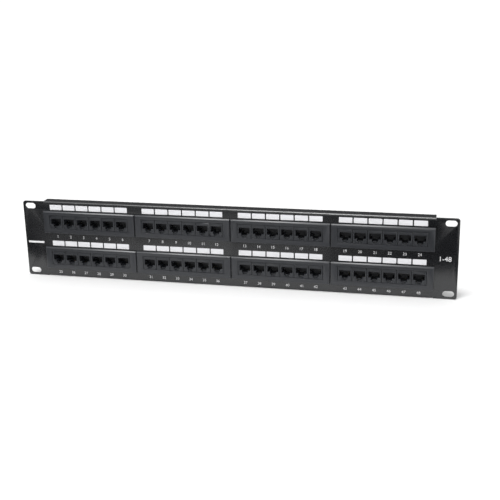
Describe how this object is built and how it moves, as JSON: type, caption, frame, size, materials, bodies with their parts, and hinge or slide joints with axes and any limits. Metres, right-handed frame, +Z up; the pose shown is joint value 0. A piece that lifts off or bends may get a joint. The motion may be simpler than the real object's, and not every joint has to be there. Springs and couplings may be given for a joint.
{
  "type": "patch panel",
  "caption": "Rack-mount patch panel with two rows of modular sockets behind a black steel face plate, with punch-down blocks on circuit boards at the rear.",
  "frame": {"origin": "centre of the four rack slots, on the rear face of the ears", "axes": "+X to the right as seen from the front, +Y back into the rack, +Z up"},
  "size_m": [0.4826, 0.0311, 0.0874],
  "materials": {
    "plate_paint": "fine black powder coat",
    "label_white": "matte write-on label",
    "screw_steel": "zinc-plated",
    "frame_plastic": "satin black, moulded",
    "jack_plastic": "satin black, moulded",
    "contact_gold": "gold-plated spring wire",
    "board_green": "solder mask",
    "block_plastic": "satin black, moulded",
    "blade_tin": "tin-plated",
    "strip_white": "matte adhesive strip"
  },
  "bodies": {
    "panel": {"face_plate": "plate_paint", "port_labels": "label_white", "module_screws": "screw_steel", "port_frame_1": "frame_plastic", "port_frame_2": "frame_plastic", "port_frame_3": "frame_plastic", "port_frame_4": "frame_plastic", "port_frame_5": "frame_plastic", "port_frame_6": "frame_plastic", "port_frame_7": "frame_plastic", "port_frame_8": "frame_plastic", "port_jacks_1": "jack_plastic", "port_jacks_2": "jack_plastic", "port_jacks_3": "jack_plastic", "port_jacks_4": "jack_plastic", "port_jacks_5": "jack_plastic", "port_jacks_6": "jack_plastic", "port_jacks_7": "jack_plastic", "port_jacks_8": "jack_plastic", "circuit_board_1": "board_green", "circuit_board_2": "board_green", "circuit_board_3": "board_green", "circuit_board_4": "board_green", "circuit_board_5": "board_green", "circuit_board_6": "board_green", "circuit_board_7": "board_green", "circuit_board_8": "board_green", "punchdown_blocks_1": "block_plastic", "punchdown_blocks_2": "block_plastic", "punchdown_blocks_3": "block_plastic", "punchdown_blocks_4": "block_plastic", "punchdown_blocks_5": "block_plastic", "punchdown_blocks_6": "block_plastic", "punchdown_blocks_7": "block_plastic", "punchdown_blocks_8": "block_plastic", "idc_contacts_1": "blade_tin", "idc_contacts_2": "blade_tin", "idc_contacts_3": "blade_tin", "idc_contacts_4": "blade_tin", "idc_contacts_5": "blade_tin", "idc_contacts_6": "blade_tin", "idc_contacts_7": "blade_tin", "idc_contacts_8": "blade_tin", "wiring_labels_1": "strip_white", "wiring_labels_2": "strip_white", "wiring_labels_3": "strip_white", "wiring_labels_4": "strip_white", "wiring_labels_5": "strip_white", "wiring_labels_6": "strip_white", "wiring_labels_7": "strip_white", "wiring_labels_8": "strip_white"},
    "contacts_1": {"jack_contacts_1": "contact_gold"},
    "contacts_2": {"jack_contacts_2": "contact_gold"},
    "contacts_3": {"jack_contacts_3": "contact_gold"},
    "contacts_4": {"jack_contacts_4": "contact_gold"},
    "contacts_5": {"jack_contacts_5": "contact_gold"},
    "contacts_6": {"jack_contacts_6": "contact_gold"},
    "contacts_7": {"jack_contacts_7": "contact_gold"},
    "contacts_8": {"jack_contacts_8": "contact_gold"}
  },
  "joints": [
    {"name": "contact_flex_1", "type": "hinge", "parent": "panel", "child": "contacts_1", "pos_m": [-0.1632, 0.01145, 0.025], "axis": [-1, 0, 0], "range_deg": [0, 7], "stiffness_Nm_per_rad": 3.5},
    {"name": "contact_flex_2", "type": "hinge", "parent": "panel", "child": "contacts_2", "pos_m": [-0.0544, 0.01145, 0.025], "axis": [-1, 0, 0], "range_deg": [0, 7], "stiffness_Nm_per_rad": 3.5},
    {"name": "contact_flex_3", "type": "hinge", "parent": "panel", "child": "contacts_3", "pos_m": [0.0544, 0.01145, 0.025], "axis": [-1, 0, 0], "range_deg": [0, 7], "stiffness_Nm_per_rad": 3.5},
    {"name": "contact_flex_4", "type": "hinge", "parent": "panel", "child": "contacts_4", "pos_m": [0.1632, 0.01145, 0.025], "axis": [-1, 0, 0], "range_deg": [0, 7], "stiffness_Nm_per_rad": 3.5},
    {"name": "contact_flex_5", "type": "hinge", "parent": "panel", "child": "contacts_5", "pos_m": [-0.1632, 0.01145, -0.0169], "axis": [-1, 0, 0], "range_deg": [0, 7], "stiffness_Nm_per_rad": 3.5},
    {"name": "contact_flex_6", "type": "hinge", "parent": "panel", "child": "contacts_6", "pos_m": [-0.0544, 0.01145, -0.0169], "axis": [-1, 0, 0], "range_deg": [0, 7], "stiffness_Nm_per_rad": 3.5},
    {"name": "contact_flex_7", "type": "hinge", "parent": "panel", "child": "contacts_7", "pos_m": [0.0544, 0.01145, -0.0169], "axis": [-1, 0, 0], "range_deg": [0, 7], "stiffness_Nm_per_rad": 3.5},
    {"name": "contact_flex_8", "type": "hinge", "parent": "panel", "child": "contacts_8", "pos_m": [0.1632, 0.01145, -0.0169], "axis": [-1, 0, 0], "range_deg": [0, 7], "stiffness_Nm_per_rad": 3.5}
  ]
}
